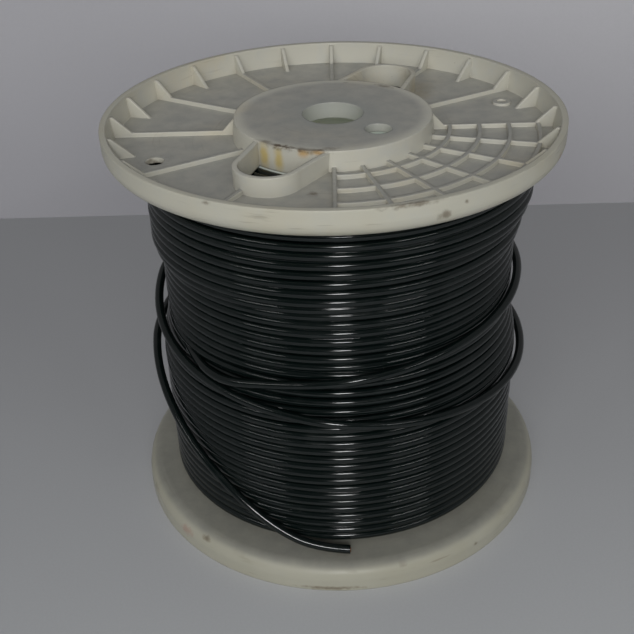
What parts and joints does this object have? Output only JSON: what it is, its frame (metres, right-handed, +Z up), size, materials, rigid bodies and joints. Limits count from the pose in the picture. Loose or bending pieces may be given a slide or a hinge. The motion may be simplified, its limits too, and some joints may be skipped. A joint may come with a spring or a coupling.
{
  "type": "plastic cable drum wound with insulated wire",
  "caption": "Moulded plastic wire reel with ribbed flanges and a hub bore, wound full of black insulated wire, its loose end hanging round the winding.",
  "frame": {"origin": "centre of the lower flange's underside", "axes": "+Z up along the reel's axis, the loose wire end on the -Y side"},
  "size_m": [0.165, 0.165, 0.156],
  "materials": {
    "reel_plastic": "ivory moulded plastic, scuffed, with a soft sheen",
    "wire_insulation": "glossy black insulation"
  },
  "bodies": {
    "root": {"upper_flange": "reel_plastic", "lower_flange": "reel_plastic", "barrel": "reel_plastic", "wire_winding": "wire_insulation", "loose_wire": "wire_insulation"}
  },
  "joints": []
}
